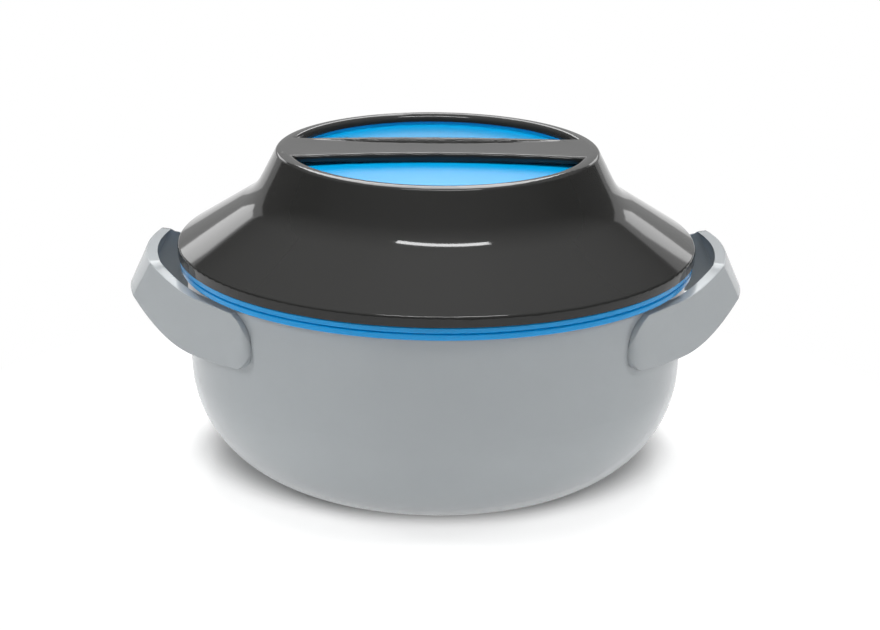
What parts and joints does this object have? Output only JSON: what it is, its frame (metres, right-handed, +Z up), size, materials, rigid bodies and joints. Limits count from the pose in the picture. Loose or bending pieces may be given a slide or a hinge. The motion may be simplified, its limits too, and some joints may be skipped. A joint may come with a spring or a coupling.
{
  "type": "insulated chapati casserole",
  "caption": "Round insulated serving casserole with a steel bowl, coloured collar, flared side handles and a domed lift-off lid with a grip bar over a dished recess",
  "frame": {"origin": "centre of the foot ring on the table, on the axis of the bowl", "axes": "+Z up the axis of the pot and lid, X through the two side handles, -Y the front"},
  "size_m": [0.297, 0.25, 0.1659],
  "materials": {
    "grey_shell": "gloss",
    "blue_trim": "gloss",
    "charcoal_lid": "gloss",
    "steel": "satin",
    "screw_steel": "satin",
    "foam": "matte",
    "white_plastic": "satin",
    "seal": "satin"
  },
  "bodies": {
    "pot": {"outer_shell": "grey_shell", "base_cover": "grey_shell", "fill_plug": "white_plastic", "body_foam": "foam", "inner_bowl": "steel", "rim_ring": "blue_trim", "right_handle": "grey_shell", "left_handle": "grey_shell", "right_handle_screws": "screw_steel", "left_handle_screws": "screw_steel"},
    "seal": {"lid_seal": "seal"},
    "lid": {"lid_shell": "charcoal_lid", "recess_dish": "blue_trim", "lid_foam": "foam", "inner_lid": "steel", "lid_ring": "white_plastic"}
  },
  "joints": [
    {"name": "lid_lift", "type": "slide", "parent": "pot", "child": "seal", "axis": [0, 0, 1], "range_m": [0, 0.15]},
    {"name": "lid_twist", "type": "hinge", "parent": "seal", "child": "lid", "pos_m": [0, 0, 0.1], "axis": [0, 0, -1], "range_deg": [0, 24]}
  ]
}
